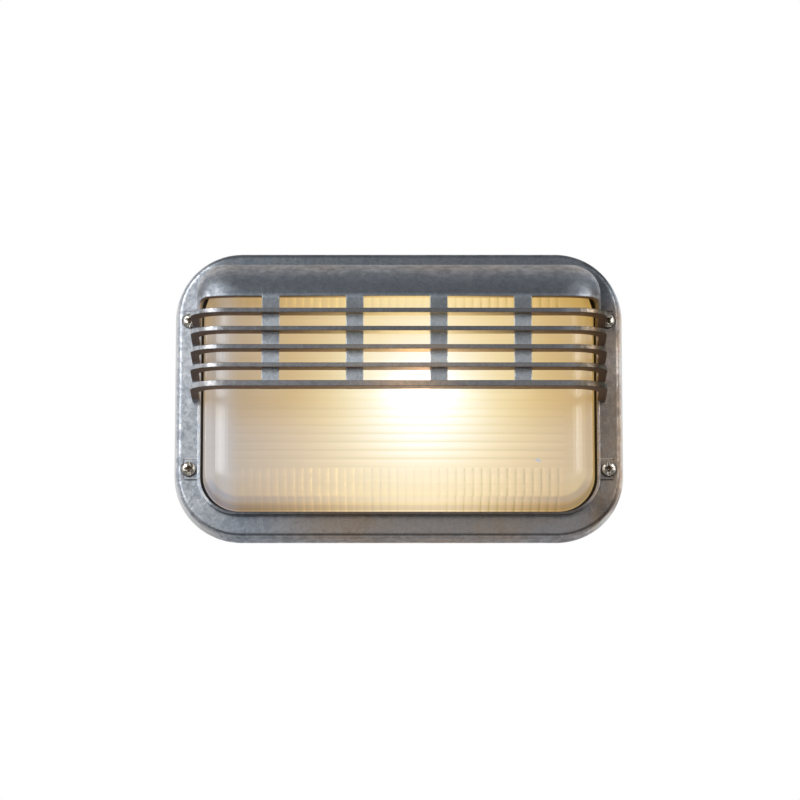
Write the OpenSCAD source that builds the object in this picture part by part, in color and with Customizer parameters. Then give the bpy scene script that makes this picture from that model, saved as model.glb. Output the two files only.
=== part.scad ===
// Outdoor wall light with a half visor, prismatic glass and a tapered back box.
// Built lying on its back: X is right, Y is up and Z leads out of the wall. The last step
// of each piece, placed(), stands it up so that the light faces -Y with +Z up.

/* [Front casting] */
// Overall width of the front casting
front_w = 250; // [236:1:290]
// Overall height of the front casting
front_h = 164; // [156:1:190]
// Corner radius of the front outline
corner_r = 37.5; // [34:0.5:40]
// Distance from the wall to the flat front face
body_depth = 50; // [48:1:60]
// Depth of the rim that wraps back over the box
rim_depth = 11; // [10:0.5:14]
// Thickness of the wrap-round rim
rim_t = 2.8; // [2.4:0.1:3.2]
// How much the rim narrows from its back edge to the rolled edge
rim_draft = 0.9; // [0.4:0.1:1.4]
// Radius that rolls the rim into the flat face
edge_r = 3; // [2:0.25:3.5]
// Thickness of the flat front plate
plate_t = 3.5; // [3:0.1:4.5]
// Width of the flat band from the outside edge to the window, at each side
side_band = 14.7; // [14.6:0.1:17]
// Height of the same band above and below the window
end_band = 15; // [14.6:0.1:18]
// Corner radius of the window
window_r = 20; // [16:0.5:22]
// Width of the raised lip round the window
lip_w = 1.5; // [1.2:0.1:2]
// Height of the raised lip over the face
lip_h = 3; // [2:0.25:4]

/* [Visor] */
// Distance from the flat face to the front of the ribs
visor_depth = 42; // [36:0.5:50]
// How far the ribs stand in front of the hood and straps
rib_proud = 4.5; // [3:0.25:6]
// How far the rib legs stand outside the hood's side
rib_side_proud = 3.2; // [2.4:0.1:4]
// Thickness of the hood and straps
shell_t = 4; // [3:0.25:5]
// Thickness of the hood's side walls
hood_side_t = 1.8; // [1.5:0.1:2.5]
// Height of the hood's root above the window's top edge
hood_rise = 6; // [5:0.25:8]
// Width of the rounded corner at each end of the hood, seen from above
visor_corner_w = 16; // [12:0.5:20]
// Depth of that rounded corner
visor_corner_d = 10; // [7:0.5:13]
// Number of cross ribs
rib_count = 5; // [3:1:5]
// Distance from one rib to the next
rib_pitch = 10.3; // [9:0.1:10.8]
// Thickness of each rib
rib_t = 2.5; // [2:0.1:3.5]
// Thickness of the lowest rib
last_rib_t = 3.2; // [2.5:0.1:4]
// Height of the lowest rib's middle over the middle of the light
last_rib_y = -2.6; // [-8:0.1:2]
// Number of upright straps
strap_count = 4; // [2:1:5]
// Distance from one strap to the next
strap_pitch = 46.4; // [36:0.2:48]
// Width of each strap
strap_w = 9.6; // [7:0.2:14]
// Radius of the upper outer corner of the visor's end openings
slot_r = 4; // [2:0.5:6]
// How far the row of straps sits to the right of the middle
strap_shift = -1.1; // [-2:0.1:2]

/* [Glass] */
// Gap between the glass dome and the window's edge
glass_gap = 1.8; // [1.4:0.1:2.4]
// How much rounder the dome's corners are than the window's
glass_ease = 1.8; // [0:0.2:3]
// How far the glass stands in front of the flat face
glass_proud = 17; // [13:0.5:20]
// Thickness of the glass
glass_t = 4; // [3.4:0.1:4.5]
// Width of the rounded margin round the flat front of the dome
crown_w = 16; // [14:0.5:17]
// Radius of that rounding
crown_r = 22; // [20:0.5:26]
// Radius of the edge between the margin and the dome's side walls
glass_edge_r = 3; // [2:0.25:4]
// Inward lean of the dome's side walls over their height
glass_draft = 1.2; // [0.6:0.1:2]
// How far the flange reaches past the window's edge
flange_over = 2; // [1.6:0.1:2.1]
// Thickness of the flange
flange_t = 4; // [3.5:0.1:4.5]
// Distance from one moulded prism to the next
prism_pitch = 4.7; // [4:0.1:6]
// Height of the moulded prisms
prism_h = 1.4; // [0.8:0.1:1.8]
// Height of the field of level prisms
field_h = 90; // [80:1:94]
// Plain glass at each end of the level prisms
field_end = 16.5; // [14:0.5:24]
// Plain glass at each end of the rows of upright prisms above and below them
upright_end = 21.5; // [18:0.5:33]

/* [Back box] */
// Thickness of the box's walls
box_wall = 3; // [2.6:0.1:3.5]
// Thickness of the box's floor
floor_t = 3; // [2.6:0.1:4]
// How much each side of the box narrows from the front casting to the wall
box_taper = 6.6; // [5:0.2:7.5]
// Gap between the box and the rim round it
box_gap = 0.4; // [0.3:0.1:0.6]
// Distance between the two wall-fixing holes
fixing_pitch = 170; // [150:1:176]
// Diameter of the wall-fixing holes
fixing_d = 5.5; // [4.5:0.1:6.5]
// Hole through the cable grommet
cable_d = 8.5; // [7:0.1:10]

/* [Seals and fasteners] */
// Thickness of the rubber seal between box and front
seal_t = 1.5; // [1.2:0.1:2]
// Thickness of the rubber channel in front of and behind the glass flange
channel_t = 1.2; // [1:0.1:1.6]
// Distance of the front screws from the outside edge of the front
screw_inset = 8.4; // [8.3:0.1:8.6]
// Height of the front screws above and below the middle
screw_rise = 42.3; // [36:0.1:44]
// Head diameter of the front screws
head_d = 8; // [7:0.1:8.4]
// Distance of each glass clip from the middle
clip_x = 58; // [40:1:64]

/* [Lamp and reflector] */
// Distance of the globe's middle to the right of the middle of the light
lamp_x = 16; // [10:0.5:20]
// Diameter of the lamp's globe
globe_d = 45; // [42:0.5:45]
// Distance from the wall to the lamp's axis
lamp_z = 36.5; // [36:0.25:37]
// Gap between the box floor and the reflector pan
pan_lift = 5; // [4.5:0.25:5.5]
// Thickness of the reflector pan
pan_t = 0.8; // [0.6:0.1:1]
// Height of the reflector pan
pan_h = 26; // [20:0.5:28]

/* [Hidden] */

$fn = 48;
eps = 0.01;
arc_n = 8;

// Front casting: corner centres, window and inside faces
half_w = front_w / 2;
half_h = front_h / 2;
corner_x = half_w - corner_r;
corner_y = half_h - corner_r;
window_x = half_w - side_band;
window_y = half_h - end_band;
plate_back = body_depth - plate_t;
rim_back = body_depth - rim_depth;
rim_land = 2;

// Visor: hood, ribs and straps
hood_x = window_x + lip_w;
hood_y = window_y + hood_rise;
hood_depth = visor_depth - rib_proud;
hood_r = 18;
hood_front_r = 13;
leg_x = hood_x + rib_side_proud;
leg_gap = 0.3;
rib_y = [for (k = [0 : rib_count - 1]) last_rib_y + k * rib_pitch];
top_rib_y = rib_y[rib_count - 1];
hood_edge_y = top_rib_y + rib_pitch - rib_t / 2;
visor_bottom = last_rib_y - last_rib_t / 2;
slot_end_x = window_x - 0.1;
strap_x = [for (k = [0 : strap_count - 1]) strap_shift + (k - (strap_count - 1) / 2) * strap_pitch];
root_sink = 1;

// Glass and its rubber channel
glass_x = window_x - glass_gap;
glass_y = window_y - glass_gap;
glass_r = window_r - glass_gap + glass_ease;
crown = min(crown_w, glass_r - 1);
field_w = 2 * (glass_x - field_end);
upright_w = 2 * (glass_x - upright_end);
prism_land = 0.1;
prism_root = 0.5;
prism_clear = 0.4;
flange_front = plate_back - channel_t;
flange_back = flange_front - flange_t;
channel_back = flange_back - channel_t;
channel_web = 0.8;
channel_lip_gap = 0.5;
glass_front = body_depth + glass_proud;
glass_inside = glass_front - glass_t;
flange_x = window_x + flange_over;
flange_y = window_y + flange_over;
flange_r = window_r + flange_over;

// Back box
box_front = plate_back - seal_t;
box_reach = corner_r - rim_t - box_gap;
box_foot = box_reach - box_taper;
box_round = 1;
seal_edge = 0.2;
boss_r = 3.3;
boss_deep = 23;
screw_x = half_w - screw_inset;
shank_r = 1.95;
shank_hole_r = 2;
clear_hole_r = 2.25;
thread_deep = 16;
entry_y = -34;
entry_r = cable_d / 2 + 2;
grommet_lip = 2;
grommet_lip_t = 1.4;
fixing_boss_r = 6.5;
fixing_boss_h = 2;
fixing_seal_t = 1;
fixing_driver_r = 4.5;

// Front screws, and the half length and half width of a cross recess in head radii
recess_l = 0.6;
recess_w = 0.13;
seat_deep = 0.6;
seat_h = 11.4;
seat_reach = 3.2;
washer_t = 0.7;
head_h = 2.5;
front_screw_len = 18;
pocket_r = head_d / 2 + 0.6;
pocket_h = 4;

// Glass clips and small screws
clip_boss_r = 2.4;
clip_y = flange_y + channel_web + clip_boss_r + 0.15;
clip_w = 14;
clip_t = 0.8;
clip_hold = 5.5;
small_shank_r = 1.25;
small_hole_r = 1.3;
small_head_r = 2.6;
small_head_h = 1.6;

// Reflector pan
pan_back = floor_t + pan_lift;
pan_floor = pan_back + pan_t;
pan_inset = 47.5;
pan_x = half_w - pan_inset;
pan_y = half_h - pan_inset;
pan_reach = 12;
pan_flare = 12;
pillar_r = 3.5;
pillar_x = pan_x + 3;
pillar_y = pan_y + 3;

// Lamp and lampholder, along X
cap_r = 13.1;
cap_len = 23;
lamp_len = 78;
lamp_tip_x = lamp_x + globe_d / 2 - lamp_len;
tip_len = 3.5;
cap_back_x = lamp_tip_x + tip_len;
neck_x = cap_back_x + cap_len;
holder_r = 18.5;
holder_front_x = neck_x - 1;
holder_floor_x = lamp_tip_x - 2.6;
holder_back_x = holder_floor_x - 16;
shell_r = 14.6;
shell_bore_r = 13.3;
shell_back_x = cap_back_x - 0.5;
bracket_t = 1.5;
bracket_half = 15;
bracket_foot = 16;
bracket_top = lamp_z + 14;
bracket_r = 6;
foot_screw_y = 9;
tail_x = holder_back_x - bracket_t;
foot_x = tail_x - bracket_foot / 2;
holder_screw_y = 11;
holder_screw_l = 8;

// Terminal block and earth
block_inset = 19.5;
block_x = pan_x - block_inset;
block_y = -20;
block_l = 30;
block_w = 17;
block_h = 14;
way_pitch = 10;
way_w = 8;
head_sink = 3;
earth_inset = 15.5;
earth_x = pan_x - earth_inset;
earth_y = 18;
earth_boss_r = 4.5;
earth_washer_t = 1.4;

// Internal wires
lead_d = 2.4;
lead_sides = 8;
lead_steps = 2;
lead_hole_r = lead_d / 2 + 0.3;
lead_lay = pan_floor + lead_hole_r + 0.1;
holder_term_y = 6;
term_z = pan_floor + block_h * 0.35;
term_y = block_y + block_w / 2;
clamp_y = 5;
clamp_r = 2.1;
live_route = [
    [block_x - way_pitch, term_y - 1, term_z], [block_x - way_pitch, term_y + 3, term_z],
    [block_x - way_pitch, term_y + 6, term_z], [block_x - 14, 6, lead_lay], [28, 24, lead_lay],
    [0, 31, lead_lay], [-30, 30, lead_lay], [-56, 27, lead_lay], [-71, 22, lead_lay + 5],
    [-74, 12, lamp_z - 6], [tail_x - 7, holder_term_y, lamp_z], [tail_x - 3, holder_term_y, lamp_z],
    [tail_x + 4, holder_term_y, lamp_z]];
neutral_route = [
    [block_x, term_y - 1, term_z], [block_x, term_y + 3, term_z],
    [block_x, term_y + 6, term_z], [block_x - 10, 13, lead_lay], [32, 30, lead_lay],
    [0, 37, lead_lay], [-32, 36, lead_lay], [-60, 31, lead_lay], [-79, 22, lead_lay + 5],
    [-80, 4, lamp_z - 8], [tail_x - 9, -holder_term_y, lamp_z], [tail_x - 4, -holder_term_y, lamp_z],
    [tail_x + 4, -holder_term_y, lamp_z]];
earth_route = [
    [block_x + way_pitch, term_y - 1, term_z], [block_x + way_pitch, term_y + 3, term_z],
    [block_x + way_pitch, term_y + 6, term_z - 1], [block_x + 15, 4, lead_lay],
    [block_x + 15, 12, lead_lay], [earth_x + 6.5, earth_y, pan_floor + 2]];

// Stands a piece up: Y becomes up and Z leads out of the wall, towards -Y
module placed() rotate([90, 0, 0]) children();

// Rounded rectangle, centred, from z0 to z1
module round_block(half_x, half_y, r, z0, z1) {
    translate([0, 0, z0]) linear_extrude(z1 - z0) {
        square([2 * (half_x - r), 2 * half_y], center = true);
        square([2 * half_x, 2 * (half_y - r)], center = true);
        for (sx = [-1, 1], sy = [-1, 1]) translate([sx * (half_x - r), sy * (half_y - r)]) circle(r);
    }
}

// Block with rounded corners swept from a half profile, whose X is the reach past the
// corner centres and whose Y is the distance from the wall, from z0 to z1 at its middle
module swept_block(centre_x, centre_y, z0, z1) {
    for (sx = [0, 1], sy = [0, 1]) mirror([sx, 0, 0]) mirror([0, sy, 0])
        translate([centre_x, centre_y, 0]) rotate_extrude(angle = 90) children();
    for (s = [0, 1]) mirror([s, 0, 0])
        translate([centre_x, centre_y, 0]) rotate([90, 0, 0]) linear_extrude(2 * centre_y) children();
    for (s = [0, 1]) mirror([0, s, 0])
        translate([-centre_x, centre_y, 0]) rotate([90, 0, 90]) linear_extrude(2 * centre_x) children();
    translate([-centre_x, -centre_y, z0]) cube([2 * centre_x, 2 * centre_y, z1 - z0]);
}

// Points of a quarter round from [x, y - r] to [x - r, y]
function quarter(x, y, r, n = arc_n) =
    [for (i = [0 : n]) [x - r * (1 - cos(90 * i / n)), y - r * (1 - sin(90 * i / n))]];

// Four copies at the corners of a rectangle
module at_corners(x, y) for (sx = [-1, 1], sy = [-1, 1]) translate([sx * x, sy * y, 0]) children();

// Pan-head screw along Z with its head's underside at z = 0, and a cross recess
module pan_screw(head_r, head_h, shank_r, length) {
    dome = head_h * 0.55;
    difference() {
        rotate_extrude() polygon(concat(
            [[0, 0], [head_r, 0], [head_r, head_h - dome]],
            [for (i = [1 : 6]) [head_r * cos(15 * i), head_h - dome + dome * sin(15 * i)]]));
        for (a = [0, 90]) rotate([0, 0, a])
            translate([-head_r * recess_l, -head_r * recess_w, head_h * 0.4])
                cube([2 * head_r * recess_l, 2 * head_r * recess_w, head_h]);
    }
    translate([0, 0, -length]) cylinder(r = shank_r, h = length + eps);
}

// Outline of the visor seen from above: straight sides, rounded corners, flat front
function plan_corner(side, depth, corner_w, corner_d) = [for (i = [0 : arc_n])
    [side - corner_w * (1 - cos(90 * i / arc_n)), depth - corner_d * (1 - sin(90 * i / arc_n))]];
function plan_outline(side, depth, corner_w, corner_d, root) =
    let (right = concat([[side, root]], plan_corner(side, depth, corner_w, corner_d)), n = len(right))
    concat(right, [for (i = [n - 1 : -1 : 0]) [-right[i][0], right[i][1]]]);

// Half width and top of the hood at a distance p from the flat face
function hood_half(p, side, depth) = p <= depth - visor_corner_d ? side
    : side - visor_corner_w * (1 - sqrt(max(0, 1 - pow((p - depth + visor_corner_d) / visor_corner_d, 2))));
function hood_top(p, top, edge, depth) = edge + (top - edge) * sqrt(max(0, 1 - pow(max(p, 0) / depth, 2)));

// One section of the hood: an arch with rounded shoulders on a flat bottom
function hood_ring(x, top, r, bottom, z, n = 9) = concat(
    [for (i = [0 : n]) [x - r + r * cos(90 * i / n), top - r + r * sin(90 * i / n), z]],
    [for (i = [0 : n]) [-x + r - r * sin(90 * i / n), top - r + r * cos(90 * i / n), z]],
    [[-x, bottom, z], [x, bottom, z]]);

// Solid of the hood with straight sides below it, lofted through arches from the face forwards
module hood_solid(side, top, edge, depth, bottom, shrink_r) {
    n = 20;
    stops = concat([-root_sink], [for (i = [0 : n]) depth * sin(90 * i / n)]);
    rings = [for (p = stops) hood_ring(hood_half(p, side, depth), hood_top(p, top, edge, depth),
        hood_r - shrink_r - (hood_r - hood_front_r) * max(p, 0) / depth, bottom, body_depth + p)];
    m = len(rings[0]);
    last = len(rings) - 1;
    faces = concat(
        [[for (j = [0 : m - 1]) j]],
        [[for (j = [m - 1 : -1 : 0]) last * m + j]],
        [for (i = [0 : last - 1], j = [0 : m - 1], t = [0, 1])
            let (a = i * m + j, b = i * m + (j + 1) % m, c = b + m, d = a + m)
            t == 0 ? [a, d, c] : [a, c, b]]);
    polyhedron([for (ring = rings, p = ring) p], faces);
}

// Opening between the last strap and the visor's end, with a rounded upper outer corner
module end_opening(x0) {
    y0 = visor_bottom - 2;
    translate([x0, y0]) square([slot_end_x - x0, hood_edge_y - slot_r - y0]);
    translate([x0, y0]) square([slot_end_x - slot_r - x0, hood_edge_y - y0]);
    translate([slot_end_x - slot_r, hood_edge_y - slot_r]) circle(slot_r);
}

// Hood and straps: the hollow shell with the windows between the straps cut out
module hood_and_straps() {
    window_h = hood_edge_y - visor_bottom + 2;
    cut_z = body_depth + lip_h;
    difference() {
        hood_solid(hood_x, hood_y, hood_edge_y, hood_depth, visor_bottom, 0);
        hood_solid(hood_x - hood_side_t, hood_y - shell_t, hood_edge_y - shell_t / 3, hood_depth - shell_t,
            visor_bottom - 5, hood_side_t);
        for (k = [0 : strap_count - 2]) translate([strap_x[k] + strap_w / 2, visor_bottom - 2, cut_z])
            cube([strap_pitch - strap_w, window_h, hood_depth]);
        translate([0, 0, cut_z]) linear_extrude(hood_depth) {
            end_opening(strap_x[strap_count - 1] + strap_w / 2);
            mirror([1, 0]) end_opening(-strap_x[0] + strap_w / 2);
        }
        for (s = [0, 1]) mirror([s, 0, 0])
            translate([hood_x - 6, visor_bottom - 2, body_depth - root_sink - eps])
                cube([10, top_rib_y - visor_bottom + 2, hood_depth + 5]);
    }
}

// One cross rib with the legs that run back to the face
module rib(y, t) {
    translate([0, y + t / 2, body_depth]) rotate([90, 0, 0]) linear_extrude(t) difference() {
        polygon(plan_outline(leg_x, visor_depth, visor_corner_w + 2.5, visor_corner_d + 1, -root_sink));
        polygon(plan_outline(window_x + leg_gap, hood_depth - shell_t + 0.3, visor_corner_w, visor_corner_d,
            -root_sink - 1));
    }
}

module bezel() {
    difference() {
        union() {
            swept_block(corner_x, corner_y, rim_back, body_depth)
                polygon(concat([[0, rim_back], [corner_r, rim_back], [corner_r, rim_back + rim_land]],
                    quarter(corner_r - rim_draft, body_depth, edge_r), [[0, body_depth]]));
            round_block(window_x + lip_w, window_y + lip_w, window_r + lip_w,
                body_depth - root_sink, body_depth + lip_h);
        }
        round_block(half_w - rim_t, half_h - rim_t, corner_r - rim_t, rim_back - 1, plate_back);
        round_block(window_x, window_y, window_r, rim_back - 1, body_depth + lip_h + 1);
    }
    at_corners(clip_x, clip_y) translate([0, 0, channel_back]) difference() {
        cylinder(r = clip_boss_r, h = plate_back - channel_back + eps);
        translate([0, 0, -eps]) cylinder(r = small_hole_r, h = plate_back - channel_back - 1);
    }
}

module front_casting() color([0.58, 0.6, 0.64]) placed() difference() {
    union() {
        bezel();
        hood_and_straps();
        for (k = [0 : rib_count - 1]) rib(rib_y[k], k == 0 ? last_rib_t : rib_t);
    }
    at_corners(screw_x, screw_rise) {
        translate([0, 0, rim_back - 1]) cylinder(r = clear_hole_r, h = rim_depth + 5);
        translate([0, 0, body_depth - seat_deep]) cylinder(r = pocket_r, h = pocket_h + seat_deep);
    }
    for (sx = [0, 1], sy = [-1, 1]) mirror([sx, 0, 0])
        translate([window_x + lip_w, sy * screw_rise - seat_h / 2, body_depth - seat_deep])
            cube([screw_x + seat_reach - window_x - lip_w, seat_h, sy > 0 ? seat_deep : seat_deep + 1]);
}

// Row of triangular prisms with a thin land in the grooves, seen end on, that reach back into the glass
module prisms(width, back) {
    n = floor(width / prism_pitch);
    function tip(i, h) = [(i - n / 2) * prism_pitch, h];
    polygon(concat([tip(0, -back)],
        [for (i = [0 : n - 1]) each [tip(i, prism_land), tip(i + 0.5, prism_h)]],
        [tip(n, prism_land), tip(n, -back)]));
}

// Angle at which the margin of the dome, cut deep inside its outer face, turns into the edge
function crown_turn(cut, edge) = asin((crown - glass_draft - cut - edge) / (crown_r - cut - edge));
function crown_arc(x, y, r, from, to) =
    [for (i = [0 : arc_n]) let (a = from + (to - from) * i / arc_n) [x + r * sin(a), y + r * cos(a)]];

// Glass dome whose faces lie cut deep inside the outer ones: walls, edge, rounded margin, flat front
module dome(cut, edge, z0) {
    reach = glass_r - cut;
    turn = crown_turn(cut, edge);
    edge_y = glass_front - crown_r + (crown_r - cut - edge) * cos(turn);
    swept_block(glass_x - glass_r, glass_y - glass_r, z0, glass_front - cut)
        polygon(concat([[0, z0], [reach, z0], [reach, body_depth]],
            crown_arc(reach - glass_draft - edge, edge_y, edge, 90, turn),
            crown_arc(glass_r - crown, glass_front - crown_r, crown_r - cut, turn, 0),
            [[0, glass_front - cut]]));
}

module prismatic_glass() color([0.98, 0.86, 0.62, 0.7]) placed() {
    inner_y = glass_y - glass_t - glass_draft;
    flat_y = glass_y - crown;
    inner_edge = glass_edge_r / 2;
    inner_r = crown_r - glass_t;
    wall_top = glass_front - crown_r + (inner_r - inner_edge) * cos(crown_turn(glass_t, inner_edge));
    prism_turn = asin((inner_y - prism_h - prism_clear - flat_y) / inner_r);
    difference() {
        union() {
            dome(0, glass_edge_r, flange_front - 1);
            round_block(flange_x, flange_y, flange_r, flange_back, flange_front);
        }
        dome(glass_t, inner_edge, flange_back - 1);
    }
    translate([field_w / 2, 0, glass_inside]) rotate([0, 180, 0]) rotate([90, 0, 90])
        linear_extrude(field_w) prisms(field_h, prism_root);
    for (s = [0, 1]) mirror([0, s, 0]) {
        translate([0, flat_y, glass_inside]) rotate([0, 180, 0]) rotate([90, 0, 0])
            linear_extrude(flat_y - field_h / 2) prisms(upright_w, prism_root);
        translate([0, -flat_y, glass_front - crown_r]) rotate([180, 0, 0]) rotate([0, 90, 0])
            rotate_extrude(angle = prism_turn) translate([inner_r, 0]) rotate(90)
                prisms(upright_w, prism_root);
        translate([0, inner_y, flange_front]) rotate([0, 0, 180])
            linear_extrude(wall_top - prism_clear - flange_front)
                prisms(upright_w, prism_root + glass_draft);
    }
}

module glass_gasket() color([0.05, 0.05, 0.05]) placed() difference() {
    round_block(flange_x + channel_web, flange_y + channel_web, flange_r + channel_web,
        channel_back, plate_back);
    round_block(flange_x, flange_y, flange_r, flange_back, flange_front);
    round_block(glass_x + channel_lip_gap, glass_y + channel_lip_gap, glass_r + channel_lip_gap,
        channel_back - 1, plate_back + 1);
}

// Flat clip with its screw hole over the boss and its tongue on the rubber channel
module glass_clips() color([0.75, 0.76, 0.78]) placed()
    for (sx = [-1, 1], sy = [0, 1]) mirror([0, sy, 0]) translate([sx * clip_x, 0, channel_back - clip_t])
        difference() {
            union() {
                translate([-clip_w / 2, clip_y - clip_boss_r - clip_hold, 0])
                    cube([clip_w, clip_hold + clip_boss_r, clip_t]);
                translate([0, clip_y, 0]) cylinder(r = clip_boss_r, h = clip_t);
            }
            translate([0, clip_y, -1]) cylinder(r = small_hole_r + 0.1, h = clip_t + 2);
        }

module glass_clip_screws() color([0.8, 0.8, 0.82]) placed() at_corners(clip_x, clip_y)
    translate([0, 0, channel_back - clip_t]) mirror([0, 0, 1])
        pan_screw(clip_boss_r, small_head_h, small_shank_r, plate_back - channel_back - 1);

module front_screw(sx, sy) color([0.82, 0.8, 0.76]) placed()
    translate([sx * screw_x, sy * screw_rise, body_depth - seat_deep + washer_t])
        pan_screw(head_d / 2, head_h, shank_r, front_screw_len);

module front_screw_upper_left() front_screw(-1, 1);
module front_screw_upper_right() front_screw(1, 1);
module front_screw_lower_left() front_screw(-1, -1);
module front_screw_lower_right() front_screw(1, -1);

module front_screw_washers() color([0.1, 0.1, 0.1]) placed() at_corners(screw_x, screw_rise)
    translate([0, 0, body_depth - seat_deep]) difference() {
        cylinder(r = head_d / 2 + 0.2, h = washer_t);
        translate([0, 0, -1]) cylinder(r = clear_hole_r, h = washer_t + 2);
    }

module body_gasket() color([0.08, 0.08, 0.08]) placed() difference() {
    outer = box_reach - seal_edge;
    inner = box_reach - box_wall + seal_edge;
    union() {
        difference() {
            round_block(corner_x + outer, corner_y + outer, outer, box_front, plate_back);
            round_block(corner_x + inner, corner_y + inner, inner, box_front - 1, plate_back + 1);
        }
        at_corners(screw_x, screw_rise) translate([0, 0, box_front]) cylinder(r = boss_r, h = seal_t);
    }
    at_corners(screw_x, screw_rise) translate([0, 0, box_front - 1])
        cylinder(r = clear_hole_r, h = seal_t + 2);
}

// Outer form of the box: tapered walls with a short straight stretch inside the rim
module box_form() swept_block(corner_x, corner_y, 0, box_front)
    polygon([[0, 0], [box_foot - box_round, 0], [box_foot, box_round], [box_reach, rim_back],
        [box_reach, box_front], [0, box_front]]);

module box_hollow() swept_block(corner_x, corner_y, floor_t, box_front + 1)
    polygon([[0, floor_t], [box_foot - box_wall - box_round, floor_t],
        [box_foot - box_wall, floor_t + box_round], [box_reach - box_wall, rim_back],
        [box_reach - box_wall, box_front + 1], [0, box_front + 1]]);

module back_box() color([0.5, 0.52, 0.55]) placed() difference() {
    union() {
        difference() {
            box_form();
            box_hollow();
        }
        intersection() {
            box_form();
            at_corners(screw_x, screw_rise) translate([0, 0, box_front - boss_deep])
                cylinder(r = boss_r, h = boss_deep);
        }
        at_corners(pillar_x, pillar_y) translate([0, 0, floor_t - eps])
            cylinder(r = pillar_r, h = pan_lift + eps);
        for (s = [-1, 1]) translate([s * fixing_pitch / 2, 0, floor_t - eps])
            cylinder(r = fixing_boss_r, h = fixing_boss_h + eps);
        translate([earth_x, earth_y, floor_t - eps]) cylinder(r = earth_boss_r, h = pan_lift + eps);
    }
    at_corners(screw_x, screw_rise) translate([0, 0, box_front - thread_deep])
        cylinder(r = shank_hole_r, h = thread_deep + 1);
    at_corners(pillar_x, pillar_y) translate([0, 0, floor_t - 1])
        cylinder(r = small_hole_r, h = pan_lift + 2);
    translate([earth_x, earth_y, floor_t - 1]) cylinder(r = shank_hole_r, h = pan_lift + 2);
    for (s = [-1, 1]) translate([s * fixing_pitch / 2, 0, -1])
        cylinder(d = fixing_d, h = floor_t + fixing_boss_h + 2);
    translate([0, entry_y, -1]) cylinder(r = entry_r, h = floor_t + 2);
    translate([0, entry_y, -1]) cylinder(r = entry_r + grommet_lip, h = 1 + grommet_lip_t);
}

module cable_grommet() color([0.06, 0.06, 0.06]) placed() translate([0, entry_y, 0]) difference() {
    union() {
        cylinder(r = entry_r + grommet_lip, h = grommet_lip_t);
        cylinder(r = entry_r, h = floor_t);
        translate([0, 0, floor_t]) cylinder(r = entry_r + grommet_lip, h = grommet_lip_t);
    }
    translate([0, 0, -1]) cylinder(d = cable_d, h = floor_t + grommet_lip_t + 2);
}

module fixing_hole_seals() color([0.1, 0.1, 0.1]) placed() for (s = [-1, 1])
    translate([s * fixing_pitch / 2, 0, floor_t + fixing_boss_h]) difference() {
        cylinder(r = fixing_boss_r - 0.5, h = fixing_seal_t);
        translate([0, 0, -1]) cylinder(d = fixing_d, h = fixing_seal_t + 2);
    }

module pan_hole(x, y, r) translate([x, y, pan_back - 1]) cylinder(r = r, h = pan_t + 2);

module reflector_pan() color([0.95, 0.95, 0.92]) placed() difference() {
    pan_mouth = pan_reach + pan_flare;
    pan_rim = pan_back + pan_h;
    swept_block(pan_x, pan_y, pan_back, pan_rim)
        polygon([[0, pan_back], [pan_reach, pan_back], [pan_mouth, pan_rim], [0, pan_rim]]);
    swept_block(pan_x, pan_y, pan_floor, pan_rim + 1)
        polygon([[0, pan_floor], [pan_reach - pan_t, pan_floor], [pan_mouth - pan_t, pan_rim],
            [pan_mouth - pan_t, pan_rim + 1], [0, pan_rim + 1]]);
    for (sx = [-1, 1], sy = [-1, 1]) pan_hole(sx * pillar_x, sy * pillar_y, small_hole_r + 0.1);
    pan_hole(earth_x, earth_y, shank_hole_r + 0.1);
    pan_hole(0, entry_y, entry_r + 1.5);
    for (s = [-1, 1]) {
        pan_hole(s * fixing_pitch / 2, 0, fixing_driver_r);
        pan_hole(foot_x, s * foot_screw_y, small_hole_r);
    }
    pan_hole(block_x, block_y, small_hole_r);
}

module pan_screws() color([0.8, 0.8, 0.82]) placed() at_corners(pillar_x, pillar_y)
    translate([0, 0, pan_floor]) pan_screw(small_head_r, small_head_h, small_shank_r, pan_t + pan_lift);

// Bent steel bracket: a foot on the pan and an upright that carries the lampholder
module holder_bracket() color([0.72, 0.73, 0.75]) placed() difference() {
    union() {
        translate([tail_x - bracket_foot, -bracket_half, pan_floor])
            cube([bracket_foot + bracket_t, 2 * bracket_half, bracket_t]);
        translate([tail_x, -bracket_half, pan_floor])
            cube([bracket_t, 2 * bracket_half, bracket_top - bracket_r - pan_floor]);
        translate([tail_x, -bracket_half + bracket_r, bracket_top - bracket_r - eps])
            cube([bracket_t, 2 * (bracket_half - bracket_r), bracket_r]);
        for (s = [-1, 1]) translate([tail_x, s * (bracket_half - bracket_r), bracket_top - bracket_r])
            rotate([0, 90, 0]) cylinder(r = bracket_r, h = bracket_t);
    }
    for (s = [-1, 1]) {
        translate([foot_x, s * foot_screw_y, pan_floor - 1]) cylinder(r = small_hole_r, h = bracket_t + 2);
        translate([tail_x - 1, s * holder_screw_y, lamp_z])
            rotate([0, 90, 0]) cylinder(r = small_hole_r, h = bracket_t + 2);
        translate([tail_x - 1, s * holder_term_y, lamp_z])
            rotate([0, 90, 0]) cylinder(r = lead_hole_r, h = bracket_t + 2);
    }
}

module bracket_screws() color([0.8, 0.8, 0.82]) placed() for (s = [-1, 1])
    translate([foot_x, s * foot_screw_y, pan_floor + bracket_t])
        pan_screw(small_head_r, small_head_h, small_shank_r, pan_t + bracket_t + 1.5);

// Lays a piece that was drawn along Z onto the lamp's axis, from x onwards
module along_lamp(x) translate([x, 0, lamp_z]) rotate([0, 90, 0]) children();

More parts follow.
